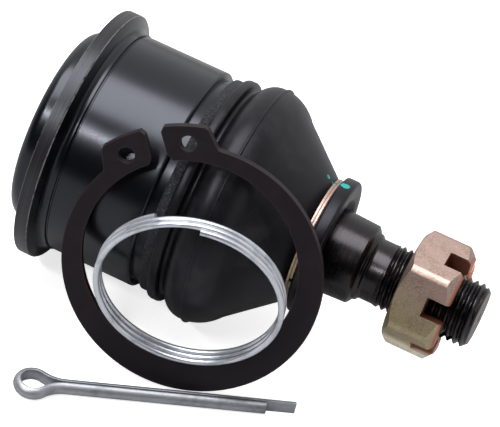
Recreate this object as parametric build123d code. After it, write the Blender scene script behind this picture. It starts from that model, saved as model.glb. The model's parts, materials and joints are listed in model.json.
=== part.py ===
from build123d import *
from math import asin, cos, degrees, radians, sin, sqrt, tan
import os

# A press-in suspension ball joint that lies on its side, with the loose pieces of its kit in front of it.
# Millimetres, +Z up. The origin is on the joint's axis, in the middle of the press seat.
# Distances called "at" run along that axis from the flange's front edge, towards the stud's tip.

# ---- driving dimensions: housing ----
flange_r = 27.9
flange_t = 3.0
flange_edge = 0.25
shoulder_at = 0.8           # where the flange's front face meets the hollow that runs down to the press seat
shoulder_r = 26.0
shoulder_len = 2.6
shoulder_end_h = 0.3
undercut_w = 0.45
undercut_depth = 0.3
seat_r = 24.5
seat_len = 19.0
seat_chamfer = 0.4
snap_groove_w = 2.1
snap_groove_depth = 1.5
land_w = 2.0
land_drop = 0.4
nose_r = 21.6
nose_len = 4.4
boss_r = 21.3
boss_len = 5.1
boss_round = 2.4
lip_t = 1.4
lip_w = 2.4
cavity_r = 17.3

# ---- ball and stud ----
ball_r = 14.0
ball_at = 9.5
ball_flat_r = 7.2
swing_deg = 22.0
shank_r = 7.7
shank_flare_from = 37.0
collar_from = 41.0
collar_big_r = 9.1
collar_small_r = 8.75
collar_end = 64.3
neck_r = 6.7
neck_step_r = 7.4
neck_len = 4.8
neck_round = 0.9
thread_r = 7.0
thread_end = 90.6
tip_chamfer = 1.15
centre_hole_r = 1.3
centre_hole_deep = 2.6
pin_hole_r = 1.75
pin_hole_at = 85.9
pin_hole_turn = 215.0

# ---- plastic bearings, spring and end cap ----
play = 0.05                 # running clearance between a turning piece and its seat
bearing_gap = 0.6
rear_bearing_back = 3.0
cap_t = 2.0
cap_rim_w = 1.3
cap_dome = 0.9
cap_dome_r = 12.0
spring_t = 0.9
spring_r = 14.5
spring_hole_r = 9.2

# ---- dust boot ----
boot_wall = 2.1
boot_lip_r = 25.1
boot_lip_w = 2.2
boot_groove_r = 23.1
boot_groove_w = 1.1
boot_bulge_r = 26.3
boot_bulge_at = 35.15
boot_ridge_h = 0.4
boot_ridge_w = 0.7
boot_cone_at = 41.6
boot_cone_r = 22.6
boot_neck_at = 52.0
boot_neck_r = 13.9
boot_end_r = 15.2
boot_end_t = 3.1
boot_end_round = 0.7
boot_recess_r = 11.4
boot_recess_deep = 1.3

# ---- spiral clip round the boot's small end ----
clip_wire = 1.1
clip_h = 0.65
clip_turns = 2
clip_gap_deg = 6.0

# ---- slotted nut ----
nut_flats = 23.0
nut_at = 73.7
nut_h = 11.3
nut_chamfer = 1.1
slot_w = 4.3
slot_deep = 4.7
slots = 6
nut_turn = 95.0

# ---- loose snap ring ----
snap_r = 27.1
snap_hole_r = 22.4
snap_offset = 1.6           # the opening sits this far towards the gap, so the ring is widest opposite it
snap_t = 1.75
snap_lug_r = 31.4
snap_lug_hole_r = 1.7
snap_lug_hole_at = 27.6
snap_lug_hole_deg = 13.8
snap_gap = 3.3
snap_lug_deg = 20.2
snap_lug_foot_deg = 26.6
snap_lug_corner = 1.1
snap_gap_dir = 29.0         # the gap's turn from straight up, towards the flange
snap_lean = 74.5            # from the floor
snap_heading = 9.0          # turn away from square to the joint
snap_x = 34.94
snap_in_boot = 2.79         # how much nearer the axis its centre stands than the boot's bulge
snap_in_seat = 0.99         # and than the press seat
snap_lift = 0.23            # it leans on the split pin too, which holds its foot just off the floor

# ---- loose retaining ring for the boot's big end ----
coil_r = 19.05
coil_wire = 1.3
coil_turns = 2.92
coil_pitch = 1.36
coil_lean = 94.65           # its top tips away from the joint
coil_heading = 13.5
coil_x = 37.41
coil_front = 1.43           # from the snap ring's inner edge, on which it stands
coil_rise = 1.9
coil_start_dir = 121.6

# ---- loose split pin ----
pin_half_r = 1.45
pin_leg_gap = 0.3
pin_short_leg = 42.6
pin_long_leg = 49.0
pin_eye_r = 1.86
pin_flare_r = 6.2
pin_heading = 26.4
pin_neck_x = 19.42
pin_clear = 5.92            # from the snap ring's foot, on the floor

# ---- places worked out from them ----
seat_mid = shoulder_len + undercut_w + (seat_len - seat_chamfer) / 2
seat_end = shoulder_len + undercut_w + seat_len
land_at = seat_end + snap_groove_w
nose_at = land_at + land_w
nose_end = nose_at + nose_len
cap_front = -(flange_t + boss_len - lip_t - cap_t)
boss_back = -(flange_t + boss_len)
mouth_at = ball_at + sqrt(ball_r**2 - (ball_r * sin(radians(swing_deg) + asin(shank_r / ball_r)))**2)
mouth_r = ball_r * sin(radians(swing_deg) + asin(shank_r / ball_r)) + 0.15
nose_mouth_r = (nose_end - ball_at) * tan(radians(swing_deg)) + shank_r / cos(radians(swing_deg)) + 0.35
ridge_r = boot_bulge_r + boot_ridge_h
clip_at = boot_neck_at + 0.3
boot_end_at = clip_at + clip_wire + 0.3
boot_front = boot_end_at + boot_end_t
droop = degrees(asin((flange_r - ridge_r) / boot_bulge_at))    # it rests on its flange and its boot
floor_z = seat_mid * sin(radians(droop)) - flange_r * cos(radians(droop))
front_x = -seat_mid * cos(radians(droop))
thread_from = collar_end + neck_len


def on_axis(shape):
    return Rot(0, droop, 0) * Pos(-seat_mid, 0, 0) * shape


def turned(outline):
    return revolve(make_face(outline), Axis.X)


def housing():
    bore_step = cavity_r + cap_rim_w
    outline = Polyline(
        (boss_back, bore_step - lip_w), (boss_back, boss_r - boss_round))
    outline += CenterArc((boss_back + boss_round, boss_r - boss_round), boss_round, 90, 90)
    outline += Polyline(
        (boss_back + boss_round, boss_r), (-flange_t, boss_r), (-flange_t, flange_r), (-flange_edge, flange_r),
        (0, flange_r - flange_edge), (shoulder_at, shoulder_r))
    hollow_end_r = seat_r + shoulder_end_h
    outline += ThreePointArc(
        (shoulder_at, shoulder_r),
        (shoulder_at + 0.28 * (shoulder_len - shoulder_at), shoulder_r - 0.7 * (shoulder_r - hollow_end_r)),
        (shoulder_len, hollow_end_r))
    under_at = shoulder_len + undercut_w
    outline += Polyline(
        (shoulder_len, hollow_end_r), (shoulder_len, seat_r - undercut_depth),
        (under_at, seat_r - undercut_depth), (under_at, seat_r),
        (seat_end - seat_chamfer, seat_r), (seat_end, seat_r - seat_chamfer),
        (seat_end, seat_r - snap_groove_depth), (land_at, seat_r - snap_groove_depth),
        (land_at, seat_r - land_drop), (nose_at, seat_r - land_drop),
        (nose_at, nose_r), (nose_end, nose_r), (nose_end, nose_mouth_r),
        (mouth_at, mouth_r), (mouth_at, cavity_r), (cap_front, cavity_r),
        (cap_front, bore_step), (boss_back + lip_t, bore_step), (boss_back + lip_t, bore_step - lip_w),
        (boss_back, bore_step - lip_w))
    return turned(outline)


def end_cap():
    rim_r = cavity_r + cap_rim_w
    back = cap_front - cap_t
    outline = Polyline((back, cap_dome_r), (back, rim_r), (cap_front, rim_r), (cap_front, 0), (back - cap_dome, 0))
    outline += ThreePointArc((back - cap_dome, 0), (back - 0.75 * cap_dome, 0.5 * cap_dome_r), (back, cap_dome_r))
    return turned(outline)


def preload_spring():
    seat = cap_front
    bearing = -rear_bearing_back
    outline = Polyline(
        (seat, spring_r), (seat + spring_t, spring_r), (bearing, spring_hole_r),
        (bearing - spring_t, spring_hole_r), (seat, spring_r))
    return turned(outline)


def ball_cup(cup_from, cup_to):
    cup_r = ball_r + play
    middle = (cup_from + cup_to) / 2

    def wall(at):
        return (at, sqrt(cup_r**2 - (at - ball_at)**2))

    outline = Polyline(wall(cup_from), (cup_from, cavity_r), (cup_to, cavity_r), wall(cup_to))
    outline += ThreePointArc(wall(cup_to), wall(middle), wall(cup_from))
    return turned(outline)


def rear_bearing():
    return ball_cup(-rear_bearing_back, ball_at - bearing_gap / 2)


def front_bearing():
    return ball_cup(ball_at + bearing_gap / 2, mouth_at)


def ball_stud():
    ball = Pos(ball_at, 0, 0) * Sphere(ball_r)
    flat_at = ball_at - sqrt(ball_r**2 - ball_flat_r**2)
    ball -= Pos(flat_at - ball_r, 0, 0) * Box(2 * ball_r, 2 * ball_r, 2 * ball_r)
    shank_outline = Polyline(
        (ball_at, 0), (ball_at, shank_r), (shank_flare_from, shank_r), (collar_from, collar_big_r),
        (boot_front, collar_big_r), (collar_end - 0.3, collar_small_r), (collar_end, collar_small_r - 0.3),
        (collar_end + 0.5, neck_step_r + 0.3), (collar_end + neck_round, neck_step_r),
        (collar_end + 2 * neck_round, neck_r), (thread_from, neck_r), (thread_from + 0.3, thread_r),
        (thread_end - tip_chamfer, thread_r), (thread_end, thread_r - tip_chamfer), (thread_end, 0), close=True)
    stud = ball + turned(shank_outline)
    centre_hole = turned(Polyline(
        (thread_end - centre_hole_deep, 0), (thread_end, centre_hole_r), (thread_end, 0), close=True))
    cross = Pos(pin_hole_at, 0, 0) * Rot(pin_hole_turn - 90, 0, 0) * Cylinder(pin_hole_r, 4 * thread_r)
    return stud - centre_hole - cross


def dust_boot():
    lip_from = nose_at + 0.1
    lip_to = lip_from + boot_lip_w
    groove_to = lip_to + boot_groove_w
    bore_big = nose_r + play
    bore_small = collar_big_r + play
    ridge_from = boot_bulge_at - boot_ridge_w / 2
    ridge_to = boot_bulge_at + boot_ridge_w / 2
    outer = Polyline(
        (lip_from, bore_big), (lip_from, boot_lip_r - 0.5), (lip_from + 0.5, boot_lip_r),
        (lip_to - 0.5, boot_lip_r), (lip_to, boot_lip_r - 0.5), (lip_to, boot_groove_r), (groove_to, boot_groove_r))
    outer += ThreePointArc(
        (groove_to, boot_groove_r), (groove_to + 0.27 * (ridge_from - groove_to), boot_bulge_r - 1.0),
        (ridge_from, boot_bulge_r))
    outer += Polyline((ridge_from, boot_bulge_r), (ridge_from, ridge_r), (ridge_to, ridge_r), (ridge_to, boot_bulge_r))
    outer += ThreePointArc(
        (ridge_to, boot_bulge_r), (0.5 * (ridge_to + boot_cone_at) + 0.35, 0.5 * (boot_bulge_r + boot_cone_r) + 0.55),
        (boot_cone_at, boot_cone_r))
    end_bend = boot_end_round
    outer += Polyline(
        (boot_cone_at, boot_cone_r), (boot_neck_at, boot_neck_r), (clip_at - 0.1, clip_seat_r()),
        (clip_at + clip_wire + 0.1, clip_seat_r()), (boot_end_at, boot_end_r - 0.4),
        (boot_end_at + 0.4, boot_end_r), (boot_front - end_bend, boot_end_r), (boot_front, boot_end_r - end_bend),
        (boot_front, boot_recess_r), (boot_front - boot_recess_deep, boot_recess_r - 0.6),
        (boot_front - boot_recess_deep, bore_small), (clip_at - 1.6, bore_small),
        (boot_cone_at, boot_cone_r - 1.25 * boot_wall), (boot_bulge_at, boot_bulge_r - boot_wall),
        (groove_to + 2.6, boot_bulge_r - boot_wall - 0.9), (groove_to + 0.9, bore_big), (lip_from, bore_big))
    return turned(outer)


def clip_seat_r():
    return boot_neck_r - 0.75


def boot_clip():
    inner = clip_seat_r() + play
    turn_w = clip_wire / clip_turns
    ring = Part()
    for turn in range(clip_turns):
        start = clip_at + turn * turn_w
        loop = turned(Polyline(
            (start, inner), (start, inner + clip_h), (start + turn_w, inner + clip_h), (start + turn_w, inner), close=True))
        notch = Pos(start, 0, inner) * Box(turn_w * 1.01, tan(radians(clip_gap_deg)) * inner, 4 * clip_h)
        ring += loop - Rot(150 + 40 * turn, 0, 0) * notch
    return ring


def castle_nut():
    corner_r = nut_flats / 2 / cos(radians(30))
    nut = Pos(nut_at + nut_h / 2, 0, 0) * Rot(0, 90, 0) * extrude(RegularPolygon(corner_r, 6), nut_h / 2, both=True)
    face_r = nut_flats / 2 - 0.2
    slope = nut_chamfer / (corner_r - face_r)
    far_r = corner_r + 1
    lead = (far_r - face_r) * slope
    barrel = turned(Polyline(
        (nut_at, 0), (nut_at, face_r), (nut_at + lead, far_r), (nut_at + nut_h - lead, far_r),
        (nut_at + nut_h, face_r), (nut_at + nut_h, 0), close=True))
    nut = nut & barrel
    nut -= Pos(nut_at + nut_h / 2, 0, 0) * Rot(0, 90, 0) * Cylinder(thread_r + play, nut_h * 1.1)
    for slot in range(slots // 2):
        cut = Pos(nut_at + nut_h, 0, 0) * Box(2 * slot_deep, slot_w, 3 * corner_r)
        nut -= Rot(60 * slot + 30, 0, 0) * cut
    return nut.rotate(Axis.X, nut_turn)


def leaning_plane(x, y, height, heading, lean):
    across = Vector(cos(radians(heading)), sin(radians(heading)), 0)
    away = Vector(-across.Y, across.X, 0)
    normal = Vector(0, 0, 1) * cos(radians(lean)) - away * sin(radians(lean))
    return Plane(origin=(front_x + x, y, floor_z + height), x_dir=across, z_dir=normal)


def snap_ring_plane():
    height = snap_lift + snap_r * sin(radians(snap_lean)) + snap_t / 2 * cos(radians(snap_lean))
    out = max(boot_bulge_r - snap_in_boot, seat_r - snap_in_seat)
    return leaning_plane(snap_x, -out, height, snap_heading, snap_lean)


def polar(r, deg):
    return (r * cos(radians(deg)), r * sin(radians(deg)))


def snap_ring():
    flat = Circle(snap_r) - Pos(snap_offset, 0) * Circle(snap_hole_r)
    for side in (-1, 1):
        gap_edge = (snap_lug_r, side * snap_gap / 2)
        tip_from = polar(snap_lug_r, side * (degrees(asin(snap_gap / 2 / snap_lug_r)) + 1.5))
        tip_to = polar(snap_lug_r, side * snap_lug_deg)
        lug = Polyline(
            (snap_hole_r + snap_offset + 0.2, side * snap_gap / 2), (gap_edge[0] - snap_lug_corner, gap_edge[1]), tip_from)
        lug += ThreePointArc(tip_from, polar(snap_lug_r, side * snap_lug_deg / 2), tip_to)
        lug += Polyline(
            tip_to, polar(snap_lug_r - 0.5, side * (snap_lug_deg + 1.4)),
            polar(snap_r + 0.7, side * (snap_lug_foot_deg - 1)), polar(snap_r - 0.1, side * snap_lug_foot_deg),
            polar(snap_hole_r + 2.5, side * snap_lug_deg), (snap_hole_r + snap_offset + 0.2, side * snap_gap / 2))
        flat += make_face(lug)
    flat -= Pos(snap_r, 0) * Rectangle(snap_r, snap_gap)
    for side in (-1, 1):
        flat -= Pos(*polar(snap_lug_hole_at, side * snap_lug_hole_deg)) * Circle(snap_lug_hole_r)
    ring = extrude(flat, snap_t / 2, both=True)
    return snap_ring_plane() * Rot(0, 0, 90 + snap_gap_dir) * ring


def coil_plane():
    seat = snap_ring_plane()
    ring_foot = seat.origin - seat.y_dir * (snap_hole_r - snap_offset * cos(radians(snap_gap_dir)))
    height = ring_foot.Z - floor_z + coil_rise + coil_r
    return leaning_plane(coil_x, ring_foot.Y - coil_front, height, coil_heading, coil_lean)


def boot_retaining_ring():
    turns_h = coil_turns * coil_pitch
    path = Pos(0, 0, -turns_h / 2) * Helix(pitch=coil_pitch, height=turns_h, radius=coil_r)
    section = Plane(origin=path @ 0, z_dir=path % 0) * Circle(coil_wire / 2)
    coil = sweep(section, path=path, is_frenet=True)
    return coil_plane() * Rot(0, 0, coil_start_dir) * coil


def split_pin():
    half_gap = pin_leg_gap / 2
    bend = eye_bend_deg()
    path = Line((pin_short_leg, -half_gap), (0, -half_gap))
    path += JernArc(start=(0, -half_gap), tangent=(-1, 0), radius=pin_flare_r, arc_size=bend)
    eye_start = path @ 1
    path += JernArc(start=eye_start, tangent=path % 1, radius=pin_eye_r, arc_size=-(180 + 2 * bend))
    back_start = path @ 1
    path += JernArc(start=back_start, tangent=path % 1, radius=pin_flare_r, arc_size=bend)
    path += Line((0, half_gap), (pin_long_leg, half_gap))
    half_round = Circle(pin_half_r) & Pos(0, -pin_half_r) * Rectangle(2 * pin_half_r, 2 * pin_half_r)
    section = Plane(origin=(pin_short_leg, -half_gap, 0), x_dir=(0, 0, 1), z_dir=(-1, 0, 0)) * half_round
    pin = sweep(section, path=path)
    foot = snap_ring_plane().origin
    foot_y = foot.Y - snap_r * cos(radians(snap_lean))
    neck_y = foot_y - pin_clear + (pin_neck_x - snap_x) * tan(radians(pin_heading))
    return Pos(front_x + pin_neck_x, neck_y, floor_z + pin_half_r) * Rot(0, 0, pin_heading) * pin


def eye_bend_deg():
    # The legs flare apart through this angle to meet an eye that is centred between them.
    ratio = (pin_leg_gap / 2 + pin_flare_r) / (pin_eye_r + pin_flare_r)
    return degrees(asin(sqrt(1 - ratio**2)))


pieces = {
    "housing": on_axis(housing()),
    "end_cap": on_axis(end_cap()),
    "preload_spring": on_axis(preload_spring()),
    "rear_bearing": on_axis(rear_bearing()),
    "front_bearing": on_axis(front_bearing()),
    "ball_stud": on_axis(ball_stud()),
    "dust_boot": on_axis(dust_boot()),
    "boot_clip": on_axis(boot_clip()),
    "castle_nut": on_axis(castle_nut()),
    "snap_ring": snap_ring(),
    "boot_retaining_ring": boot_retaining_ring(),
    "split_pin": split_pin(),
}
os.makedirs("parts", exist_ok=True)
for name, piece in pieces.items():
    export_step(piece, f"parts/{name}.step")
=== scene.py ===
import json
from math import acos, asin, atan2, cos, degrees, hypot, pi, radians, sin, sqrt

import bpy
from mathutils import Matrix, Vector


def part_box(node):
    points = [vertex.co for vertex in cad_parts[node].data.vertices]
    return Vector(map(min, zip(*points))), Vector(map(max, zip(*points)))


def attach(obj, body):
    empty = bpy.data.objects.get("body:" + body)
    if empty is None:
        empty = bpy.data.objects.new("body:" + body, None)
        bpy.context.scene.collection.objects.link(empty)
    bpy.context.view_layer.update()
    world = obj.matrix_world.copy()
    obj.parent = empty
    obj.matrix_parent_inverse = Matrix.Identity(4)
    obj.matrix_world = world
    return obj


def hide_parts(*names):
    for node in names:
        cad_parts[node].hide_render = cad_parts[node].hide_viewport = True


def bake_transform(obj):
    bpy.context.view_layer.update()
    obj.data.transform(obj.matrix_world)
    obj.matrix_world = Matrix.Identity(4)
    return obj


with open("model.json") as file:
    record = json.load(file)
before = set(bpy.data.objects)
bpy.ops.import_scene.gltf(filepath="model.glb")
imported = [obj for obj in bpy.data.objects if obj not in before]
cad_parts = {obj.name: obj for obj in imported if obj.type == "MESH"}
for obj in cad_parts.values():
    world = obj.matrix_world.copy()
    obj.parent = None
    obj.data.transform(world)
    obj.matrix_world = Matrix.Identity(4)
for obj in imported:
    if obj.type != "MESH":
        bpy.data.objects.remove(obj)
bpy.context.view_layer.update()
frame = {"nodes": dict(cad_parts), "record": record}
mm = 0.001
mounts = {m["name"]: m for m in frame["record"]["mounts"]}
axisDir = Vector(mounts["press_seat"]["axis"])
droop = atan2(-axisDir.z, axisDir.x)
seatMiddle = 12.35                      # from the flange's front edge to the origin, along the axis
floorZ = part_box("split_pin")[0].z
tip = 0.004                             # radius of the small circle that closes a turned piece on its axis


class Wire:
    # a socket that can be used in sums; the sums become Math nodes
    def __init__(self, paint, socket):
        self.paint = paint
        self.socket = socket

    def math(self, kind, a, b):
        return self.paint.add("ShaderNodeMath", {"operation": kind}, {0: a, 1: b})

    def __add__(self, other):
        return self.math("ADD", self, other)

    def __radd__(self, other):
        return self.math("ADD", other, self)

    def __sub__(self, other):
        return self.math("SUBTRACT", self, other)

    def __mul__(self, other):
        return self.math("MULTIPLY", self, other)

    def __rmul__(self, other):
        return self.math("MULTIPLY", other, self)

    def __truediv__(self, other):
        return self.math("DIVIDE", self, other)


class Paint:
    # one material, built from nodes
    def __init__(self, name):
        self.material = bpy.data.materials.new(name)
        self.material.use_nodes = True
        self.tree = self.material.node_tree
        self.tree.nodes.clear()

    def add(self, kind, settings=None, inputs=None, out=0):
        node = self.tree.nodes.new(kind)
        for key, value in (settings or {}).items():
            setattr(node, key, value)
        for key, value in (inputs or {}).items():
            if isinstance(value, Wire):
                self.tree.links.new(value.socket, node.inputs[key])
            else:
                node.inputs[key].default_value = value
        return Wire(self, node.outputs[out]) if node.outputs else node

    def place(self, turn=(0, 0, 0), shift=(0, 0, 0)):
        here = self.add("ShaderNodeTexCoord", out="Object")
        return self.add("ShaderNodeMapping", {"vector_type": "POINT"},
                        {"Vector": here, "Rotation": turn, "Location": shift})

    def part(self, at, axis):
        return self.add("ShaderNodeSeparateXYZ", {}, {0: at}, out=axis)

    def stretched(self, at, shares):
        return self.add("ShaderNodeVectorMath", {"operation": "MULTIPLY"}, {0: at, 1: shares})

    def noise(self, at, scale, detail=2.0, rough=0.5):
        return self.add("ShaderNodeTexNoise", {},
                        {"Vector": at, "Scale": scale, "Detail": detail, "Roughness": rough})

    def lines(self, at, scale, detail=2.0):
        return self.add("ShaderNodeTexNoise", {"noise_dimensions": "1D"},
                        {"W": at, "Scale": scale, "Detail": detail})

    def span(self, value, low, high, toLow=0.0, toHigh=1.0):
        sockets = {"Value": value, "From Min": low, "From Max": high, "To Min": toLow, "To Max": toHigh}
        return self.add("ShaderNodeMapRange", {"interpolation_type": "SMOOTHSTEP"}, sockets)

    def band(self, value, low, high, soft):
        # 1 from low to high and 0 elsewhere, with its ends blurred by soft on either side
        return self.span(value, low - soft, low + soft) * self.span(value, high - soft, high + soft, 1, 0)

    def mix(self, share, a, b):
        return self.add("ShaderNodeMix", {"data_type": "RGBA"}, {0: share, 6: a, 7: b}, out=2)

    def bump(self, height, distance, strength=1.0, under=None):
        inputs = {"Height": height, "Distance": distance, "Strength": strength}
        if under is not None:
            inputs["Normal"] = under
        return self.add("ShaderNodeBump", {}, inputs)

    def done(self, **sockets):
        named = {key.replace("_", " "): value for key, value in sockets.items()}
        shader = self.add("ShaderNodeBsdfPrincipled", {}, named)
        self.add("ShaderNodeOutputMaterial", {}, {"Surface": shader})
        return self.material


def rgb(r, g, b):
    return (r, g, b, 1)


axisTurn = (0, -droop, 0)               # turns a pattern so that its X runs along the joint's axis
axisShift = (seatMiddle * mm, 0, 0)     # and starts it at the flange's front edge


def alongAxis(paint):
    at = paint.place(axisTurn, axisShift)
    return at, paint.part(at, "X")


def fromAxis(paint, at):
    flat = paint.stretched(at, (0.0, 1.0, 1.0))
    return paint.add("ShaderNodeVectorMath", {"operation": "LENGTH"}, {0: flat}, out="Value")


# ways of working

def deselect():
    if bpy.context.object and bpy.context.object.mode != "OBJECT":
        bpy.ops.object.mode_set(mode="OBJECT")
    bpy.ops.object.select_all(action="DESELECT")


def pick(piece):
    deselect()
    piece.select_set(True)
    bpy.context.view_layer.objects.active = piece


def applyPlace():
    bpy.ops.object.transform_apply(location=True, rotation=True, scale=True)


def standAt(piece, place):
    pick(piece)
    piece.matrix_world = place
    applyPlace()


def ontoJoint(piece, turn=0.0):
    # turns a piece about the joint's axis, in degrees, and takes it from a frame with its X on that axis,
    # starting at the flange, to the row's frame
    onAxis = Matrix.Rotation(droop, 4, "Y") @ Matrix.Translation((-seatMiddle * mm, 0, 0))
    standAt(piece, onAxis @ Matrix.Rotation(radians(turn), 4, "X"))


def jointPoint(at, radius, turn):
    # a point in the row's frame; turn runs from +Y towards up
    across, up = cos(radians(turn)), sin(radians(turn))
    flat = Vector(((at - seatMiddle) * mm, radius * mm * across, radius * mm * up))
    return Matrix.Rotation(droop, 4, "Y") @ flat


def mergeHere(gap, outward):
    # merges all points of the mesh that is open in edit mode, and leaves that mode
    bpy.ops.mesh.select_all(action="SELECT")
    bpy.ops.mesh.remove_doubles(threshold=gap * mm)
    if outward:
        bpy.ops.mesh.normals_make_consistent(inside=False)
    bpy.ops.object.mode_set(mode="OBJECT")


def mergeClose(piece, gap, outward=False):
    pick(piece)
    bpy.ops.object.mode_set(mode="EDIT")
    mergeHere(gap, outward)


def bow(a, b, c, steps):
    # points on the circle through a, b and c, from a to c
    ax, ay, bx, by, cx, cy = *a, *b, *c
    d = 2 * (ax * (by - cy) + bx * (cy - ay) + cx * (ay - by))
    ux = ((ax**2 + ay**2) * (by - cy) + (bx**2 + by**2) * (cy - ay) + (cx**2 + cy**2) * (ay - by)) / d
    uy = ((ax**2 + ay**2) * (cx - bx) + (bx**2 + by**2) * (ax - cx) + (cx**2 + cy**2) * (bx - ax)) / d
    r = hypot(ax - ux, ay - uy)
    start, mid, end = (atan2(y - uy, x - ux) for x, y in (a, b, c))
    sweep = (end - start) % (2 * pi)
    if (mid - start) % (2 * pi) > sweep:
        sweep -= 2 * pi
    turns = [start + sweep * i / steps for i in range(steps + 1)]
    return [(ux + r * cos(turn), uy + r * sin(turn)) for turn in turns]


def arc(x, y, r, turns):
    # points at these turns, in degrees, round the middle x, y
    return [(x + r * cos(radians(turn)), y + r * sin(radians(turn))) for turn in turns]


def roundedCorner(at, r, size, back):
    # three points round a turned edge whose flat face, at `at`, looks back or forward
    near = 0.3 * size
    points = [(at, r - size), (at + near, r - near), (at + size, r)]
    return points if back else [(2 * at - x, y) for x, y in reversed(points)]


def latheTurn(name, rings, segments, closed=False):
    # rings are (at, radius) in millimetres; a first circle is pulled from ring to ring
    deselect()
    here = rings[0]
    bpy.ops.mesh.primitive_circle_add(vertices=segments, radius=here[1] * mm,
                                      location=(here[0] * mm, 0, 0), rotation=(0, pi / 2, 0))
    piece = bpy.context.object
    piece.name = name
    applyPlace()
    bpy.ops.object.mode_set(mode="EDIT")
    bpy.ops.mesh.select_all(action="SELECT")
    for ring in list(rings[1:]) + ([rings[0]] if closed else []):
        bpy.ops.mesh.extrude_region_move(TRANSFORM_OT_translate={"value": ((ring[0] - here[0]) * mm, 0, 0)})
        if ring[1] != here[1]:
            grow = ring[1] / here[1]
            bpy.ops.transform.resize(value=(1, grow, grow), center_override=(ring[0] * mm, 0, 0))
        here = ring
    mergeHere(0.01, outward=True)
    return piece


def polyLine(curve, points, cyclic):
    line = curve.splines.new("POLY")
    line.points.add(len(points) - 1)
    for spot, point in zip(line.points, points):
        spot.co = (point[0] * mm, point[1] * mm, (point[2] if len(point) > 2 else 0) * mm, 1)
    line.use_cyclic_u = cyclic


def plateCurve(name, thickness, edge=0.0):
    # a filled flat curve of this thickness, with its edges rounded by edge
    curve = bpy.data.curves.new(name, "CURVE")
    curve.dimensions = "2D"
    curve.fill_mode = "BOTH"
    curve.extrude = (thickness / 2 - edge) * mm
    curve.bevel_depth = edge * mm
    curve.bevel_resolution = 1
    curve.offset = -edge * mm
    return curve


def meshOf(name, curve):
    piece = bpy.data.objects.new(name, curve)
    bpy.context.scene.collection.objects.link(piece)
    pick(piece)
    bpy.ops.object.convert(target="MESH")
    return bpy.context.object


def boxTool(size, place, turn):
    # a cutter, turned in degrees about the joint's axis
    deselect()
    bpy.ops.mesh.primitive_cube_add(size=1, location=[v * mm for v in place], rotation=(radians(turn), 0, 0))
    tool = bpy.context.object
    tool.scale = [v * mm for v in size]
    applyPlace()
    return tool


def cutAway(piece, tool, kind="DIFFERENCE"):
    pick(piece)
    cut = piece.modifiers.new("cut", "BOOLEAN")
    cut.operation = kind
    cut.solver = "EXACT"
    cut.object = tool
    bpy.ops.object.modifier_apply(modifier=cut.name)
    bpy.data.objects.remove(tool)


def roundEdges(piece, width, angle=30, segments=2):
    bpy.context.view_layer.objects.active = piece
    bevel = piece.modifiers.new("edges", "BEVEL")
    bevel.width = width * mm
    bevel.segments = segments
    bevel.limit_method = "ANGLE"
    bevel.angle_limit = radians(angle)
    bevel.harden_normals = False
    bpy.ops.object.modifier_apply(modifier=bevel.name)


def smooth(piece, angle=35, evenly=False):
    pick(piece)
    bpy.ops.object.shade_smooth_by_angle(angle=radians(angle))
    if evenly:                          # wide faces keep their own normal beside their rounded edges
        weigh = piece.modifiers.new("weigh", "WEIGHTED_NORMAL")
        weigh.weight = 100
        weigh.keep_sharp = True
        bpy.ops.object.modifier_apply(modifier=weigh.name)


def dress(piece, materials, node, body=None):
    piece.data.materials.clear()
    for material in materials:
        piece.data.materials.append(material)
    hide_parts(node)
    if body:
        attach(piece, body)


# housing; here and in the other pieces on the axis, distances along it are from the flange's front edge

housing = {"segments": 192, "back": -8.1, "bossR": 21.3, "bossRound": 2.4, "lipR": 16.2, "lipT": 1.4,
           "flangeR": 27.9, "flangeT": 3.0, "edge": 0.25,
           "hollow": ((0.8, 26.0), (1.3, 25.16), (2.6, 24.8)), "seatR": 24.5, "seatFrom": 3.05,
           "seatTo": 22.05, "seatChamfer": 0.4, "undercut": 0.3, "grooveR": 23.0, "landFrom": 24.15,
           "landR": 24.1, "noseFrom": 26.15, "noseR": 21.6, "noseTo": 30.55, "mouthR": 17.16,
           "throat": (17.46, 11.67), "cavityR": 17.3, "capFrom": -4.7, "capR": 18.6, "sharp": 0.12}

# at the rim the black is worn; the land in front of the groove is left rough
housingFinish = {"colour": rgb(0.0010, 0.0012, 0.0020), "worn": rgb(0.05, 0.048, 0.05),
                 "rim": rgb(0.010, 0.008, 0.0075), "rimShare": 0.8, "edge": rgb(0.20, 0.19, 0.19),
                 "rough": 0.22, "linesRough": 0.05, "cloudRough": 0.08, "landRough": 0.28,
                 "rimRough": 0.10, "gloss": 0.52, "tint": rgb(0.84, 0.87, 1.0), "soft": 0.05,
                 "edgeHalf": 0.10, "edgeSoft": 0.06, "edgeShift": 0.08, "rimDeep": (0.35, 0.15),
                 "rimFrom": (0.02, 0.08),
                 "lines": {"scale": 5200, "detail": 3}, "linesHigh": 0.004,
                 "rimLines": {"scale": 2300, "detail": 2}, "rimLinesSpan": (0.5, 0.62, 0, 0.2),
                 "rimLinesHigh": 0.09, "cloud": {"scale": 160, "detail": 4},
                 "pits": {"scale": 2600, "detail": 4, "rough": 0.7}, "pitsSpan": (0.5, 0.62, 0, 1.3),
                 "pitsHigh": 0.5, "specks": {"scale": 900, "detail": 2},
                 "specksSpan": (0.66, 0.74, 0, 0.05), "chips": {"scale": 700, "detail": 3},
                 "chipsSpan": (0.30, 0.50, 0, 0.7)}


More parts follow.
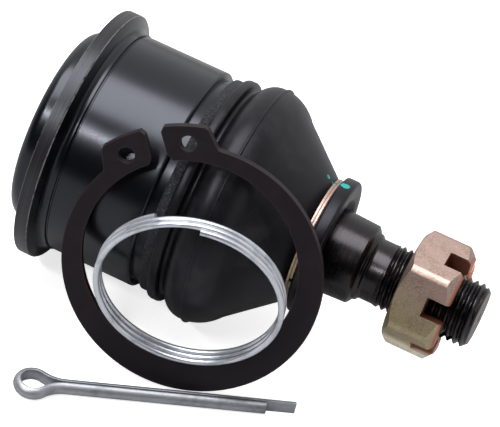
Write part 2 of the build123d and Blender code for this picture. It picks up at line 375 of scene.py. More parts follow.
def housingPaint():
    f, h = housingFinish, housing
    p = Paint("turnedBlackSteel")
    at, along = alongAxis(p)
    back, front = -h["flangeT"], -h["edge"]
    inLand = p.band(along, h["landFrom"] * mm, h["noseFrom"] * mm, f["soft"] * mm)
    onFlange = p.span(along, *((back + past) * mm for past in f["rimFrom"]))
    onFlange = onFlange * p.span(along, (front - f["soft"]) * mm, (front + f["soft"]) * mm, 1, 0)
    lines = p.lines(along, **f["lines"])
    rimLines = p.lines(along, **f["rimLines"])
    cloud = p.noise(at, **f["cloud"])
    pits = p.noise(at, **f["pits"])
    worn = p.span(pits, *f["pitsSpan"]) * inLand + p.span(p.noise(at, **f["specks"]), *f["specksSpan"])
    colour = p.mix(worn, f["colour"], f["worn"])
    colour = p.mix(onFlange * f["rimShare"], colour, f["rim"])
    colour = p.mix(onFlange * p.span(rimLines, *f["rimLinesSpan"]), colour, f["worn"])
    chips = p.span(p.noise(at, **f["chips"]), *f["chipsSpan"])
    nearEdge = sum(p.band(along, (x - f["edgeHalf"]) * mm, (x + f["edgeHalf"]) * mm, f["edgeSoft"] * mm)
                   for x in (back, front + f["edgeShift"]))
    nearRim = p.span(fromAxis(p, at), *((h["flangeR"] - deep) * mm for deep in f["rimDeep"]))
    colour = p.mix(nearEdge * nearRim * chips, colour, f["edge"])
    rough = f["rough"] + f["linesRough"] * lines + f["cloudRough"] * (cloud - 0.5)
    rough = rough + f["landRough"] * inLand + f["rimRough"] * onFlange
    turned = p.bump(lines, f["linesHigh"] * mm, 0.5)
    ridged = p.bump(rimLines * onFlange, f["rimLinesHigh"] * mm, 1.0, turned)
    pitted = p.bump(pits * inLand, f["pitsHigh"] * mm, 1.0, ridged)
    return p.done(Base_Color=colour, Roughness=rough, Normal=pitted,
                  Specular_IOR_Level=f["gloss"], Specular_Tint=f["tint"])


def makeHousing():
    h = housing
    roundTo = h["back"] + h["bossRound"]
    hollow, lipTo = h["hollow"], h["back"] + h["lipT"]
    rings = [(h["back"], h["lipR"])]
    rings += arc(roundTo, h["bossR"] - h["bossRound"], h["bossRound"], range(180, 89, -10))
    rings += [(-h["flangeT"], h["bossR"]), (-h["flangeT"], h["flangeR"]), (-h["edge"], h["flangeR"])]
    rings += [(0, h["flangeR"] - h["edge"])]
    rings += [(0.06, h["flangeR"] - h["edge"] - 0.13)]      # these two keep the front face's shading flat
    rings += [(hollow[0][0] - 0.08, hollow[0][1] + 0.16)]
    rings += bow(*hollow, 10)
    rings += [(hollow[2][0], h["seatR"] - h["undercut"]), (h["seatFrom"], h["seatR"] - h["undercut"])]
    rings += [(h["seatFrom"], h["seatR"]), (h["seatTo"] - h["seatChamfer"], h["seatR"])]
    rings += [(h["seatTo"], h["seatR"] - h["seatChamfer"]), (h["seatTo"], h["grooveR"])]
    rings += [(h["landFrom"], h["grooveR"]), (h["landFrom"], h["landR"]), (h["noseFrom"], h["landR"])]
    rings += [(h["noseFrom"], h["noseR"]), (h["noseTo"], h["noseR"]), (h["noseTo"], h["mouthR"])]
    rings += [h["throat"], (h["throat"][0], h["cavityR"])]
    rings += [(h["capFrom"], h["cavityR"]), (h["capFrom"], h["capR"])]
    rings += [(lipTo, h["capR"]), (lipTo, h["lipR"])]
    piece = latheTurn("turnedHousing", rings, h["segments"], closed=True)
    roundEdges(piece, h["sharp"])
    ontoJoint(piece)
    smooth(piece, evenly=True)
    dress(piece, [blackSteel], "housing", "housing_body")


blackSteel = housingPaint()
makeHousing()
print("stage: housing")


# ball stud

stud = {"segments": 128, "ballAt": 9.5, "ballR": 14.0, "flatR": 7.2, "shankR": 7.7, "flareFrom": 37.0,
        "collarFrom": 41.0, "collarR": 9.1, "bootFront": 56.8, "collarEnd": 64.3, "collarEndR": 8.75,
        "collarEdge": 0.3, "stepR": 7.4, "neckR": 6.7, "threadFrom": 69.1, "threadR": 7.0,
        "threadTo": 90.6, "threadStep": 0.125, "pitch": 1.5, "depth": 0.72, "slope": 1.35, "crest": 0.2,
        "runIn": 1.2, "chamfer": 1.15, "centreR": 1.3, "centreDeep": 2.6, "holeR": 1.75, "holeAt": 85.9,
        "holeTurn": 215.0}

studFinish = {"colour": rgb(0.0008, 0.0008, 0.001), "brown": rgb(0.010, 0.006, 0.0055),
              "sheared": rgb(0.20, 0.18, 0.17), "rough": 0.19, "linesRough": 0.16, "cloudRough": 0.16,
              "shearedRough": 0.5, "shearedFrom": (90.35, 90.5), "gloss": 0.42, "tint": rgb(1.0, 0.92, 0.98),
              "lines": {"scale": 3000, "detail": 3}, "linesHigh": 0.012,
              "cloud": {"scale": 220, "detail": 3}, "brownSpan": (0.5, 0.75, 0, 0.6)}


def studPaint():
    f = studFinish
    p = Paint("blackOxideStud")
    at, along = alongAxis(p)
    lines = p.lines(along, **f["lines"])
    cloud = p.noise(at, **f["cloud"])
    endFace = p.span(along, *(x * mm for x in f["shearedFrom"]))
    colour = p.mix(p.span(cloud, *f["brownSpan"]), f["colour"], f["brown"])
    colour = p.mix(endFace, colour, f["sheared"])
    rough = f["rough"] + f["linesRough"] * lines + f["cloudRough"] * (cloud - 0.5)
    rough = rough + f["shearedRough"] * endFace
    turned = p.bump(lines, f["linesHigh"] * mm, 0.7)
    return p.done(Base_Color=colour, Roughness=rough, Normal=turned,
                  Specular_IOR_Level=f["gloss"], Specular_Tint=f["tint"])


def cutThread(piece):
    # moves the thread's rings in and out as a winding vee, which starts gently at the neck
    s = stud
    for v in piece.data.vertices:
        at, r = v.co.x / mm, hypot(v.co.y, v.co.z) / mm
        if s["threadFrom"] - 0.01 <= at < s["threadTo"] - 0.02 and r > s["centreR"] + 1:
            phase = (at / s["pitch"] - atan2(v.co.z, v.co.y) / (2 * pi)) % 1.0
            vee = min(1.0, max(0.0, (1 - abs(2 * phase - 1)) * s["slope"] - s["crest"]))
            start = min(1.0, max(0.0, (at - s["threadFrom"]) / s["runIn"]))
            cut = s["threadR"] - s["depth"] * vee * start
            if start < 1:
                cut = min(cut, s["neckR"] + (s["threadR"] - s["neckR"]) * start)
            k = min(r, cut) / r
            v.co.y *= k
            v.co.z *= k


def makeStud():
    s = stud
    flatAt = s["ballAt"] - sqrt(s["ballR"]**2 - s["flatR"]**2)
    ballTo = s["ballAt"] + sqrt(s["ballR"]**2 - s["shankR"]**2)
    end = s["collarEnd"]
    rings = [(flatAt, tip)]
    rings += bow((flatAt, s["flatR"]), (s["ballAt"], s["ballR"]), (ballTo, s["shankR"]), 40)
    rings += [(s["flareFrom"], s["shankR"]), (s["collarFrom"], s["collarR"]), (s["bootFront"], s["collarR"])]
    rings += [(end - s["collarEdge"], s["collarEndR"]), (end, s["collarEndR"] - s["collarEdge"])]
    rings += bow((end + 0.35, s["stepR"] + 0.6), (end + 0.6, s["stepR"] + 0.15), (end + 1.1, s["stepR"]), 5)
    rings += bow((end + 1.4, s["stepR"] - 0.2), (end + 1.7, s["neckR"] + 0.1), (end + 2.3, s["neckR"]), 5)
    steps = int((s["threadTo"] - s["chamfer"] - s["threadFrom"]) / s["threadStep"])
    rings += [(s["threadFrom"] + i * s["threadStep"], s["threadR"]) for i in range(steps + 1)]
    for i in range(9):
        rings.append((s["threadTo"] - s["chamfer"] * (1 - i / 8), s["threadR"] - s["chamfer"] * i / 8))
    rings += [(s["threadTo"], s["centreR"]), (s["threadTo"] - s["centreDeep"], tip)]
    piece = latheTurn("forgedStud", rings, s["segments"])
    cutThread(piece)
    deselect()
    turn = radians(s["holeTurn"] - 90)
    bpy.ops.mesh.primitive_cylinder_add(vertices=48, radius=s["holeR"] * mm, depth=4 * s["threadR"] * mm,
                                        location=(s["holeAt"] * mm, 0, 0), rotation=(turn, 0, 0))
    drill = bpy.context.object
    applyPlace()
    cutAway(piece, drill)
    ontoJoint(piece)
    smooth(piece, 32)
    dress(piece, [studPaint()], "ball_stud", "stud_body")


makeStud()
print("stage: stud")


# dust boot

boot = {"segments": 192, "lipFrom": 26.25, "lipR": 25.1, "lipW": 2.2, "round": 0.5, "grooveR": 23.1,
        "grooveW": 1.1, "grooveRound": 0.3, "bulgeR": 26.3, "bulgeAt": 35.15, "bulgeBow": (0.27, 1.0),
        "ridgeH": 0.4, "ridgeW": 0.7, "coneAt": 41.6, "coneR": 22.6, "coneBow": (0.35, 0.55),
        "neckAt": 52.0, "neckR": 13.9, "clipAt": 52.3, "clipW": 1.1, "clipDeep": 0.75, "clipRoom": 0.1,
        "endAt": 53.7, "endR": 15.2, "endRound": 0.8, "front": 56.8, "recessR": 11.4, "recessDeep": 1.3,
        "boreBig": 21.65, "boreSmall": 9.15, "wall": 2.1, "blend": (29.5, 51.0)}

# at, radius, turn, size
paintDots = ((50.8, 14.9, 75.0, 0.55), (52.35, 13.9, 73.5, 0.60), (54.9, 15.2, 79.5, 1.0))

dotFinish = {"colour": rgb(0.01, 0.33, 0.30), "ragged": {"scale": 1400, "detail": 2}, "raggedShare": 0.5,
             "edge": (1.12, 1.3, 1, 0)}

rubberFinish = {"colour": rgb(0.0030, 0.0031, 0.0040), "dusty": rgb(0.022, 0.021, 0.023), "rough": 0.38,
                "cloudRough": 0.16, "grainRough": 0.08, "gloss": 0.28, "tint": rgb(0.90, 0.88, 1.0),
                "cloud": {"scale": 150, "detail": 5, "rough": 0.65}, "dustySpan": (0.46, 0.76, 0, 0.6),
                "grain": {"scale": 2600, "detail": 3, "rough": 0.6}, "grainHigh": 0.03}


def addDots(p, at, colour):
    # drops of marking paint, which lie across the boot and its clip
    here = p.add("ShaderNodeTexCoord", out="Object")
    ragged = p.noise(at, **dotFinish["ragged"]) * dotFinish["raggedShare"]
    spots = []
    for along, radius, turn, size in paintDots:
        middle = tuple(jointPoint(along, radius, turn))
        gap = p.add("ShaderNodeVectorMath", {"operation": "DISTANCE"}, {0: here, 1: middle}, out="Value")
        spots.append(p.span(gap / (size * mm) + ragged, *dotFinish["edge"]))
    return p.mix(sum(spots), colour, dotFinish["colour"])


def rubberPaint():
    f = rubberFinish
    p = Paint("bootRubber")
    at, along = alongAxis(p)
    cloud = p.noise(at, **f["cloud"])
    grain = p.noise(at, **f["grain"])
    colour = p.mix(p.span(cloud, *f["dustySpan"]), f["colour"], f["dusty"])
    colour = addDots(p, at, colour)
    rough = f["rough"] + f["cloudRough"] * (cloud - 0.5) + f["grainRough"] * (grain - 0.5)
    grained = p.bump(grain, f["grainHigh"] * mm, 0.35)
    return p.done(Base_Color=colour, Roughness=rough, Normal=grained,
                  Specular_IOR_Level=f["gloss"], Specular_Tint=f["tint"])


def makeBoot():
    b = boot
    lipTo = b["lipFrom"] + b["lipW"]
    grooveTo = lipTo + b["grooveW"]
    ridgeFrom, ridgeTo = b["bulgeAt"] - b["ridgeW"] / 2, b["bulgeAt"] + b["ridgeW"] / 2
    ridgeR, clipR = b["bulgeR"] + b["ridgeH"], b["neckR"] - b["clipDeep"]
    recessAt = b["front"] - b["recessDeep"]
    rings = [(b["lipFrom"], b["boreBig"])] + roundedCorner(b["lipFrom"], b["lipR"], b["round"], True)
    rings += roundedCorner(lipTo, b["lipR"], b["round"], False)
    rings += [(lipTo, b["grooveR"] + b["grooveRound"]), (lipTo + b["grooveRound"], b["grooveR"])]
    rings += [(grooveTo - 0.2, b["grooveR"])]
    share, deep = b["bulgeBow"]
    risen = (grooveTo + share * (ridgeFrom - grooveTo), b["bulgeR"] - deep)
    rings += bow((grooveTo, b["grooveR"] + 0.1), risen, (ridgeFrom, b["bulgeR"]), 14)
    rings += [(ridgeFrom + 0.1, ridgeR - 0.1), (ridgeFrom + 0.25, ridgeR)]
    rings += [(ridgeTo - 0.25, ridgeR), (ridgeTo - 0.1, ridgeR - 0.1)]
    onward, outward = b["coneBow"]
    crown = ((ridgeTo + b["coneAt"]) / 2 + onward, (b["bulgeR"] + b["coneR"]) / 2 + outward)
    rings += bow((ridgeTo, b["bulgeR"]), crown, (b["coneAt"], b["coneR"]), 14)
    rings += [(b["neckAt"] - 0.1, b["neckR"] + 0.06), (b["neckAt"] + 0.1, b["neckR"] - 0.25)]
    rings += [(b["clipAt"] - b["clipRoom"], clipR), (b["clipAt"] + b["clipW"] + b["clipRoom"], clipR)]
    rings += roundedCorner(b["endAt"], b["endR"], b["round"], True)
    rings += bow((b["front"] - b["endRound"], b["endR"]), (b["front"] - 0.23, b["endR"] - 0.23),
                 (b["front"], b["endR"] - b["endRound"]), 5)
    rings += [(b["front"], b["recessR"] + 0.3), (b["front"] - 0.1, b["recessR"])]
    rings += [(recessAt + 0.1, b["recessR"] - 0.6), (recessAt, b["recessR"] - 0.8)]
    # and back along the inside
    rings += [(recessAt, b["boreSmall"]), (b["clipAt"] - 1.6, b["boreSmall"])]
    rings += [(b["coneAt"], b["coneR"] - 1.25 * b["wall"])]
    rings += [(b["bulgeAt"], b["bulgeR"] - b["wall"]), (grooveTo + 2.6, b["bulgeR"] - b["wall"] - 0.9)]
    rings += [(grooveTo + 0.9, b["boreBig"])]
    piece = latheTurn("rubberBoot", rings, b["segments"], closed=True)
    ontoJoint(piece)
    smooth(piece, 50)
    dress(piece, [rubberPaint()], "dust_boot")
    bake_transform(piece)


makeBoot()
print("stage: boot")


# yellow zinc: pink high up and yellow lower, greenish in patches, coppery in the slots; paler and less
# metallic towards the bottom, which is painted light on the lower side

zincFinish = {"pink": rgb(0.47, 0.33, 0.29), "yellow": rgb(0.42, 0.34, 0.21),
              "green": rgb(0.30, 0.31, 0.19), "pale": rgb(0.72, 0.64, 0.52),
              "dark": rgb(0.14, 0.11, 0.07), "copper": rgb(0.42, 0.15, 0.09), "rough": 0.42,
              "grainRough": 0.2, "pinkFrom": (1.5, 8.5), "tintShift": 12, "paintedLightFrom": (-8.5, -6),
              "metalFrom": (-7, -4), "metal": (0.15, 0.9), "slotR": (11.0, 11.4), "slotShare": 0.9,
              "nutFrom": (60, 61), "tint": {"scale": 75, "detail": 2},
              "patch": {"scale": 130, "detail": 2}, "patchSpan": (0.58, 0.75, 0, 0.5),
              "grain": {"scale": 2400, "detail": 3, "rough": 0.6},
              "brushed": {"scale": 4200, "detail": 3, "rough": 0.8}, "brushedAcross": (0.5, 1.0, 1.0),
              "brushedSpan": (0.42, 0.66), "brushedHigh": 0.05, "wear": {"scale": 300, "detail": 3},
              "wearSpan": (0.40, 0.62, 0.25, 0.75), "flecks": {"scale": 3600, "detail": 2, "rough": 0.6},
              "flecksAcross": (1.0, 0.55, 0.55), "flecksSpan": (0.60, 0.70, 0, 0.35)}


def zincPaint():
    f = zincFinish
    p = Paint("yellowZinc")
    at, along = alongAxis(p)
    height = p.part(at, "Z")
    tint = p.noise(at, **f["tint"])
    grain = p.noise(at, **f["grain"])
    brushed = p.noise(p.stretched(at, f["brushedAcross"]), **f["brushed"])
    flecks = p.noise(p.stretched(at, f["flecksAcross"]), **f["flecks"])
    wear = p.span(p.noise(at, **f["wear"]), *f["wearSpan"])
    shifted = height + (tint - 0.5) * (f["tintShift"] * mm)
    colour = p.mix(p.span(shifted, *(z * mm for z in f["pinkFrom"])), f["yellow"], f["pink"])
    # painted light: the lower part turns pale, as if lit from below
    colour = p.mix(p.span(height, *(z * mm for z in f["paintedLightFrom"]), 1, 0), colour, f["pale"])
    colour = p.mix(p.span(p.noise(at, **f["patch"]), *f["patchSpan"]), colour, f["green"])
    colour = p.mix(p.span(brushed, *f["brushedSpan"]) * wear, colour, f["dark"])
    colour = p.mix(p.span(flecks, *f["flecksSpan"]), colour, f["pale"])
    inSlot = p.span(fromAxis(p, at), *(r * mm for r in f["slotR"]), f["slotShare"], 0)
    onNut = p.span(along, *(x * mm for x in f["nutFrom"]))
    colour = p.mix(inSlot * onNut, colour, f["copper"])
    colour = addDots(p, at, colour)
    rough = f["rough"] + f["grainRough"] * (grain - 0.5)
    # less metallic towards the bottom, part of the same painted light as the paler colour
    metal = p.span(height, *(z * mm for z in f["metalFrom"]), *f["metal"])
    raised = p.bump(brushed, f["brushedHigh"] * mm, 0.6)
    return p.done(Base_Color=colour, Roughness=rough, Metallic=metal, Normal=raised)


yellowZinc = zincPaint()


# clip round the boot's small end

clip = {"at": 52.25, "width": 1.2, "inner": 13.2, "height": 0.85, "turns": 2, "apart": 0.04, "segments": 160,
        "gap": 0.9, "gapTurn": 140.0, "gapStep": 40, "edge": 0.1}


def makeClip():
    c = clip
    turnW = c["width"] / c["turns"]
    outer = c["inner"] + c["height"]
    loops = []
    for i in range(c["turns"]):
        low = c["at"] + i * turnW + c["apart"] / 2
        high = low + turnW - c["apart"]
        rings = [(low, c["inner"]), (low, outer), (high, outer), (high, c["inner"])]
        loop = latheTurn(f"clipTurn{i}", rings, c["segments"], closed=True)
        turn = c["gapTurn"] + c["gapStep"] * i
        [(y, z)] = arc(0, 0, c["inner"], [turn])
        cutAway(loop, boxTool((4, c["gap"], 4), (low, y, z), turn - 90))
        loops.append(loop)
    pick(loops[0])
    for loop in loops:
        loop.select_set(True)
    bpy.ops.object.join()
    piece = bpy.context.object
    piece.name = "zincClip"
    roundEdges(piece, c["edge"])
    ontoJoint(piece)
    smooth(piece)
    dress(piece, [yellowZinc], "boot_clip", "clip_body")


makeClip()
print("stage: clip")


# slotted nut

nut = {"flats": 23.0, "at": 73.7, "height": 11.3, "cornerR": 2.2, "chamfer": 1.3, "washerR": 11.2,
       "crown": 1.9, "crownR": 10.7, "slots": 6, "slotW": 4.3, "slotDeep": 4.7, "boreR": 7.06,
       "leadR": 9.0, "lead": 0.9, "turn": 122.5, "edge": 0.35, "merge": 0.14}


def makeNut():
    n = nut
    end = n["at"] + n["height"]
    corner = n["flats"] / 2 / cos(radians(30))
    middleR = corner - n["cornerR"] / cos(radians(30))      # where the corners' arcs have their middles
    wide = middleR + n["cornerR"]
    outline = []
    for turn in range(30, 390, 60):
        [(x, y)] = arc(0, 0, middleR, [turn])
        outline += arc(x, y, n["cornerR"], range(turn - 30, turn + 31, 10))
    curve = plateCurve("nutOutline", n["height"])
    polyLine(curve, outline, True)
    piece = meshOf("slottedNut", curve)
    middle = Matrix.Translation(((n["at"] + n["height"] / 2) * mm, 0, 0))
    standAt(piece, middle @ Matrix.Rotation(pi / 2, 4, "Y"))
    mergeClose(piece, 0.01)
    # what a chamfered bar of the nut's length would leave standing
    far, past = corner + 1, 1
    washerIn, crownIn = wide - n["washerR"], wide - n["crownR"]
    rings = [(n["at"] - past, tip), (n["at"] - past, n["washerR"] - washerIn / n["chamfer"] * past)]
    rings += [(n["at"] + n["chamfer"] * (far - n["washerR"]) / washerIn, far)]
    rings += [(end - n["crown"] * (far - n["crownR"]) / crownIn, far)]
    rings += [(end + past, n["crownR"] - crownIn / n["crown"] * past), (end + past, tip)]
    cutAway(piece, latheTurn("chamferTool", rings, 160), "INTERSECT")
    rings = [(n["at"] - past, tip), (n["at"] - past, n["leadR"]), (n["at"] + n["lead"], n["boreR"])]
    rings += [(end - n["lead"], n["boreR"]), (end + past, n["leadR"]), (end + past, tip)]
    cutAway(piece, latheTurn("boreTool", rings, 96))
    for i in range(n["slots"] // 2):                        # each cut makes two slots
        size = (2 * n["slotDeep"], n["slotW"], 4 * corner)
        cutAway(piece, boxTool(size, (end, 0, 0), 360 / n["slots"] * i))
    mergeClose(piece, n["merge"])
    roundEdges(piece, n["edge"], 22, 3)
    ontoJoint(piece, n["turn"])
    smooth(piece, evenly=True)
    dress(piece, [yellowZinc], "castle_nut", "nut_body")


makeNut()
print("stage: nut")


# the loose pieces stand in front of the joint; x, y and height are from the flange's front edge and the floor

frontX = -seatMiddle * cos(droop)


def leaningPlace(x, y, height, heading, lean):
    across = Vector((cos(radians(heading)), sin(radians(heading)), 0))
    away = Vector((-across.y, across.x, 0))
    normal = Vector((0, 0, 1)) * cos(radians(lean)) - away * sin(radians(lean))
    up = normal.cross(across)
    return Matrix((
        (across.x, up.x, normal.x, (frontX + x) * mm),
        (across.y, up.y, normal.y, y * mm),
        (across.z, up.z, normal.z, floorZ + height * mm),
        (0, 0, 0, 1)))


# snap ring; its outline is in radii and in degrees from the middle of its gap

snap = {"r": 27.1, "holeR": 22.4, "offset": 1.6, "t": 1.75, "edge": 0.11, "gap": 3.3, "gapTurn": 119.0,
        "steps": 150, "lugR": 31.4, "lugHoleR": 1.7, "lugHoleAt": 27.6, "lugHoleDeg": 13.8,
        "lugDeg": 20.2, "lugTip": (1.1, 1.5), "lugCorner": (0.5, 21.6),
        "lugFoot": ((0.7, 25.6), (0.15, 26.6), (0.0, 28.0)), "mouth": (1.4, 2.2), "mouthGap": 0.15,
        "x": 34.94, "y": -23.51, "lift": 0.23, "lean": 74.5, "heading": 9.0}

# the edge colour, lighter and coppery, is a painted highlight on the ring's rounded edges
phosphateFinish = {"colour": rgb(0.0075, 0.0055, 0.0072), "light": rgb(0.013, 0.0095, 0.012),
                   "edge": rgb(0.06, 0.036, 0.027), "rough": 0.50, "edgeRough": 0.40, "edgeMetal": 0.5,
                   "grainRough": 0.12, "gloss": 0.24, "tint": rgb(0.95, 0.87, 1.0),
                   "cloud": {"scale": 200, "detail": 4, "rough": 0.6}, "cloudSpan": (0.45, 0.8, 0, 0.6),
                   "grain": {"scale": 3200, "detail": 3, "rough": 0.6}, "grainHigh": 0.02}


def phosphatePaint(name, colours, rough, metal=0.0):
    f = phosphateFinish
    p = Paint(name)
    at = p.place()
    grain = p.noise(at, **f["grain"])
    colour = p.mix(p.span(p.noise(at, **f["cloud"]), *f["cloudSpan"]), *colours)
    grained = p.bump(grain, f["grainHigh"] * mm, 0.4)
    roughness = rough + f["grainRough"] * (grain - 0.5)
    return p.done(Base_Color=colour, Roughness=roughness, Metallic=metal, Normal=grained,
                  Specular_IOR_Level=f["gloss"], Specular_Tint=f["tint"])


def snapOutline():
    s = snap

    def innerR(deg):                    # the hole's edge, seen from the ring's middle
        a = radians(deg)
        return s["offset"] * cos(a) + sqrt(s["holeR"]**2 - (s["offset"] * sin(a))**2)

    half = degrees(asin(s["gap"] / 2 / s["lugR"]))
    halfIn = degrees(asin(s["gap"] / 2 / innerR(0)))
    tipDeep, tipDeg = s["lugTip"]
    lugFrom = half + tipDeg
    lug = [(s["lugR"] - tipDeep, half + 0.1)]
    lug += [(s["lugR"], lugFrom + i * (s["lugDeg"] - lugFrom) / 8) for i in range(9)]
    lug += [(s["lugR"] - s["lugCorner"][0], s["lugCorner"][1])]
    lug += [(s["r"] + out, deg) for out, deg in s["lugFoot"]]
    foot = lug[-1][1]
    outer = [(s["r"], foot + i * (360 - 2 * foot) / s["steps"]) for i in range(1, s["steps"])]
    mouthDeep, mouthDeg = s["mouth"]
    holeFrom = halfIn + mouthDeg
    inner = [holeFrom + i * (360 - 2 * holeFrom) / s["steps"] for i in range(s["steps"] + 1)]
    mouth = (innerR(0) + mouthDeep, halfIn - s["mouthGap"])
    outline = lug + outer + [(r, -deg) for r, deg in reversed(lug)]
    outline += [(mouth[0], -mouth[1])] + [(innerR(deg), deg) for deg in reversed(inner)] + [mouth]
    return outline


def makeSnapRing():
    s, f = snap, phosphateFinish

    def polar(r, deg):
        return arc(0, 0, r, [s["gapTurn"] + deg])[0]

    curve = plateCurve("snapOutline", s["t"], s["edge"])
    polyLine(curve, [polar(r, deg) for r, deg in snapOutline()], True)
    for side in (-1, 1):
        x, y = polar(s["lugHoleAt"], side * s["lugHoleDeg"])
        polyLine(curve, arc(x, y, s["lugHoleR"], range(0, 360, 9)), True)
    piece = meshOf("satinSnapRing", curve)
    mergeClose(piece, 0.002, outward=True)
    faces = phosphatePaint("phosphate", (f["colour"], f["light"]), f["rough"])
    edges = phosphatePaint("phosphateEdgeHighlight", (f["edge"], f["colour"]), f["edgeRough"], f["edgeMetal"])
    dress(piece, [faces, edges], "snap_ring")
    for face in piece.data.polygons:    # the rounded edges get a lighter coppery colour: a painted highlight
        face.material_index = 1 if 0.15 < abs(face.normal.z) < 0.97 else 0
    smooth(piece, evenly=True)
    height = s["lift"] + s["r"] * sin(radians(s["lean"])) + s["t"] / 2 * cos(radians(s["lean"]))
    standAt(piece, leaningPlace(s["x"], s["y"], height, s["heading"], s["lean"]))
    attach(piece, "snap_ring_body")


makeSnapRing()
print("stage: snap ring")


# galvanized steel, for the wire ring and the split pin

galvanizedFinish = {"colour": (0.61, 0.63, 0.68), "dull": (0.41, 0.43, 0.47), "cloudRough": 0.16,
                    "grainRough": 0.08, "cloud": {"scale": 260, "detail": 4, "rough": 0.65},
                    "dullSpan": (0.45, 0.72), "grain": {"scale": 2800, "detail": 3, "rough": 0.6},
                    "grainHigh": 0.02, "wire": {"rough": 0.34, "metal": 0.9, "light": 1.12},
                    "pin": {"rough": 0.46, "metal": 0.85, "light": 0.60}}


def galvanizedPaint(name, rough, metal, light):
    f = galvanizedFinish
    p = Paint(name)
    at = p.place()
    cloud = p.noise(at, **f["cloud"])
    grain = p.noise(at, **f["grain"])
    bright, dull = (rgb(*(light * v for v in f[key])) for key in ("colour", "dull"))
    colour = p.mix(p.span(cloud, *f["dullSpan"]), bright, dull)
    roughness = rough + f["cloudRough"] * (cloud - 0.5) + f["grainRough"] * (grain - 0.5)
    grained = p.bump(grain, f["grainHigh"] * mm, 0.4)
    return p.done(Base_Color=colour, Roughness=roughness, Metallic=metal, Normal=grained)


springWire = galvanizedPaint("springWire", **galvanizedFinish["wire"])


# retaining ring for the boot's big end

coil = {"r": 19.05, "wire": 1.3, "turns": 2.92, "pitch": 1.36, "start": 121.6, "steps": 120,
        "x": 37.41, "y": -30.54, "height": 27.29, "heading": 13.5, "lean": 94.65}


def makeCoil():
    c = coil
    curve = bpy.data.curves.new("coilLine", "CURVE")
    curve.dimensions = "3D"
    curve.bevel_depth = c["wire"] / 2 * mm
    curve.bevel_resolution = 5
    curve.use_fill_caps = True
    points = []
    for i in range(int(c["turns"] * c["steps"]) + 1):
        turn = i / c["steps"]
        [(x, y)] = arc(0, 0, c["r"], [c["start"] + 360 * turn])
        points.append((x, y, (turn - c["turns"] / 2) * c["pitch"]))
    polyLine(curve, points, False)
    piece = meshOf("wireCoil", curve)
    dress(piece, [springWire], "boot_retaining_ring")
    standAt(piece, leaningPlace(c["x"], c["y"], c["height"], c["heading"], c["lean"]))
    smooth(piece, 50)
    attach(piece, "retaining_ring_body")


makeCoil()
print("stage: retaining ring")


# split pin, bent from half-round wire

pin = {"halfR": 1.45, "gap": 0.3, "short": 42.6, "long": 49.0, "eyeR": 2.6, "flareR": 8.0, "flareAt": 1.0,
       "eyeSteps": 40, "flareSteps": 8, "edge": 0.12, "x": 19.42, "y": -44.35, "heading": 26.4}


def pinLine():
    # along the short leg, out at the flare, round the eye and back along the long leg
    p = pin
    half = p["gap"] / 2
    bend = degrees(acos((half + p["flareR"]) / (p["eyeR"] + p["flareR"])))
    eyeX = p["flareAt"] - (p["eyeR"] + p["flareR"]) * sin(radians(bend))
    near = [(p["short"], -half), (p["flareAt"], -half)]
    flare = [90 + bend * i / p["flareSteps"] for i in range(1, p["flareSteps"])]
    near += arc(p["flareAt"], -half - p["flareR"], p["flareR"], flare)
    eye = [bend - 90 - (180 + 2 * bend) * i / p["eyeSteps"] for i in range(p["eyeSteps"] + 1)]
    far = [(x, -y) for x, y in reversed(near[1:])] + [(p["long"], half)]
    return near + arc(eyeX, 0, p["eyeR"], eye) + far


def makePin():
    p = pin
    profile = bpy.data.curves.new("halfRound", "CURVE")
    profile.dimensions = "2D"
    polyLine(profile, arc(0, 0, p["halfR"], range(90, 271, 12)), True)
    section = bpy.data.objects.new("halfRound", profile)
    bpy.context.scene.collection.objects.link(section)
    curve = bpy.data.curves.new("pinLine", "CURVE")
    curve.dimensions = "2D"
    curve.fill_mode = "NONE"
    curve.bevel_mode = "OBJECT"
    curve.bevel_object = section
    curve.use_fill_caps = True
    polyLine(curve, pinLine(), False)
    piece = meshOf("halfRoundPin", curve)
    bpy.data.objects.remove(section)
    roundEdges(piece, p["edge"], 40)
    turn = Matrix.Rotation(radians(p["heading"]), 4, "Z")
    spot = Matrix.Translation(((frontX + p["x"]) * mm, p["y"] * mm, floorZ + p["halfR"] * mm))
    pinSteel = galvanizedPaint("galvanizedPin", **galvanizedFinish["pin"])
    dress(piece, [pinSteel], "split_pin")
    standAt(piece, spot @ turn)
    smooth(piece, 40)
    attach(piece, "split_pin_body")


makePin()
print("stage: split pin")


# looks of the CAD solids that stay: the cap at the housing's back and the parts inside it

acetalFinish = {"light": rgb(0.72, 0.70, 0.64), "dark": rgb(0.62, 0.60, 0.54), "rough": 0.35,
                "cloudRough": 0.1, "cloud": {"scale": 300, "detail": 2}}


def bearingPaint():
    f = acetalFinish
    p = Paint("acetal")
    cloud = p.noise(p.place(), **f["cloud"])
    rough = f["rough"] + f["cloudRough"] * cloud
    return p.done(Base_Color=p.mix(cloud, f["light"], f["dark"]), Roughness=rough)


acetal = bearingPaint()
cadLooks = {"end_cap": blackSteel, "preload_spring": springWire,
            "rear_bearing": acetal, "front_bearing": acetal}
for node, material in cadLooks.items():
    for place in frame["nodes"][node].material_slots:
        place.material = material


# floor, light and camera

floorFinish = {"size": 6, "below": 0.02, "colour": rgb(0.80, 0.80, 0.80), "mirrored": rgb(0.45, 0.45, 0.46),
               "glow": 0.75}


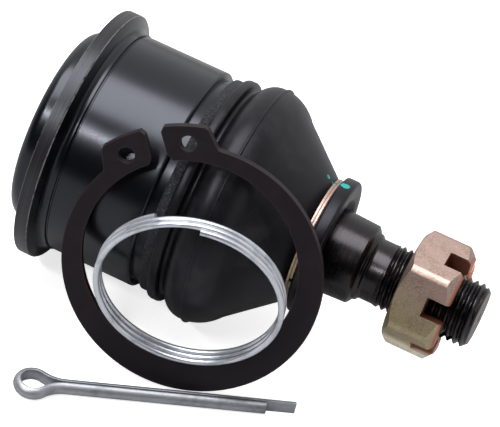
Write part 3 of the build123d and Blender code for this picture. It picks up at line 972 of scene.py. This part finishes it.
def makeFloor():
    f = floorFinish
    deselect()
    bpy.ops.mesh.primitive_plane_add(size=f["size"], location=(0, 0, floorZ - f["below"] * mm))
    ground = bpy.context.object
    ground.name = "paleFloor"
    p = Paint("paleFloor")
    diffuse = p.add("ShaderNodeBsdfDiffuse", {}, {"Color": f["colour"]})
    glow = p.add("ShaderNodeEmission", {}, {"Color": rgb(1, 1, 1), "Strength": f["glow"]})
    seen = p.add("ShaderNodeAddShader", {}, {0: diffuse, 1: glow})
    mirrored = p.add("ShaderNodeBsdfDiffuse", {}, {"Color": f["mirrored"]})
    glossy = p.add("ShaderNodeLightPath", out="Is Glossy Ray")
    direct = p.add("ShaderNodeLightPath", out="Is Camera Ray")
    unseen = p.add("ShaderNodeMixShader", {}, {0: glossy, 1: diffuse, 2: mirrored})
    mixed = p.add("ShaderNodeMixShader", {}, {0: direct, 1: unseen, 2: seen})
    p.add("ShaderNodeOutputMaterial", {}, {"Surface": mixed})
    ground.data.materials.append(p.material)


# places, aims and sizes are in metres, power is in watts
lamps = {"overheadBox": {"place": (-0.15, -0.04, 0.80), "aim": (0, 0, 0), "size": (0.56, 0.70), "power": 8.0},
         "edgeStrip": {"place": (-0.28, -0.58, 0.62), "aim": (0, 0, 0), "size": (0.30, 0.015), "power": 2.6},
         "fillBox": {"place": (0.75, -0.35, 0.30), "aim": (0.02, 0, 0), "size": (0.35, 0.35), "power": 0.5}}

# a white sweep behind the object, and a dim room in front of it
sweep = {"From Min": -0.45, "From Max": 0.55, "To Min": 0.03, "To Max": 0.95}


def makeLamps():
    for name, setup in lamps.items():
        lamp = bpy.data.lights.new(name, "AREA")
        lamp.shape = "RECTANGLE"
        lamp.size, lamp.size_y = setup["size"]
        lamp.energy = setup["power"]
        holder = bpy.data.objects.new(name, lamp)
        bpy.context.scene.collection.objects.link(holder)
        holder.location = setup["place"]
        facing = Vector(setup["aim"]) - Vector(setup["place"])
        holder.rotation_euler = facing.to_track_quat("-Z", "Y").to_euler()


def makeWorld():
    world = bpy.data.worlds.new("studio")
    bpy.context.scene.world = world
    world.use_nodes = True
    tree = world.node_tree
    back = tree.nodes["Background"]
    direction = tree.nodes.new("ShaderNodeTexCoord")
    parts = tree.nodes.new("ShaderNodeSeparateXYZ")
    level = tree.nodes.new("ShaderNodeMapRange")
    level.interpolation_type = "SMOOTHSTEP"
    for key, value in sweep.items():
        level.inputs[key].default_value = value
    paths = tree.nodes.new("ShaderNodeLightPath")
    shown = tree.nodes.new("ShaderNodeMath")        # the camera sees plain white
    shown.operation = "MAXIMUM"
    tree.links.new(direction.outputs["Generated"], parts.inputs[0])
    tree.links.new(parts.outputs["Y"], level.inputs["Value"])
    tree.links.new(level.outputs[0], shown.inputs[0])
    tree.links.new(paths.outputs["Is Camera Ray"], shown.inputs[1])
    tree.links.new(shown.outputs[0], back.inputs["Strength"])
    back.inputs["Color"].default_value = rgb(1, 1, 1)


# the camera's place is in metres; right, up and back are its own directions
shot = {"place": (0.136561, -0.444589, 0.383210), "lens": 206.08, "sensor": 36,
        "right": (0.90173, 0.38869, 0.18923), "up": (-0.39049, 0.54452, 0.74231),
        "back": (0.18549, -0.74325, 0.64279)}


def makeCamera():
    s = shot
    camera = bpy.data.objects.new("camera", bpy.data.cameras.new("camera"))
    bpy.context.scene.collection.objects.link(camera)
    camera.data.lens = s["lens"]
    camera.data.sensor_width = s["sensor"]
    camera.data.sensor_fit = "HORIZONTAL"
    camera.data.clip_start = 0.01
    turn = Matrix((s["right"], s["up"], s["back"])).transposed().to_4x4()
    camera.matrix_world = Matrix.Translation(s["place"]) @ turn
    bpy.context.scene.camera = camera


makeFloor()
makeLamps()
makeWorld()
makeCamera()
bpy.context.scene.view_settings.view_transform = "Standard"
print("stage: floor, light and camera")
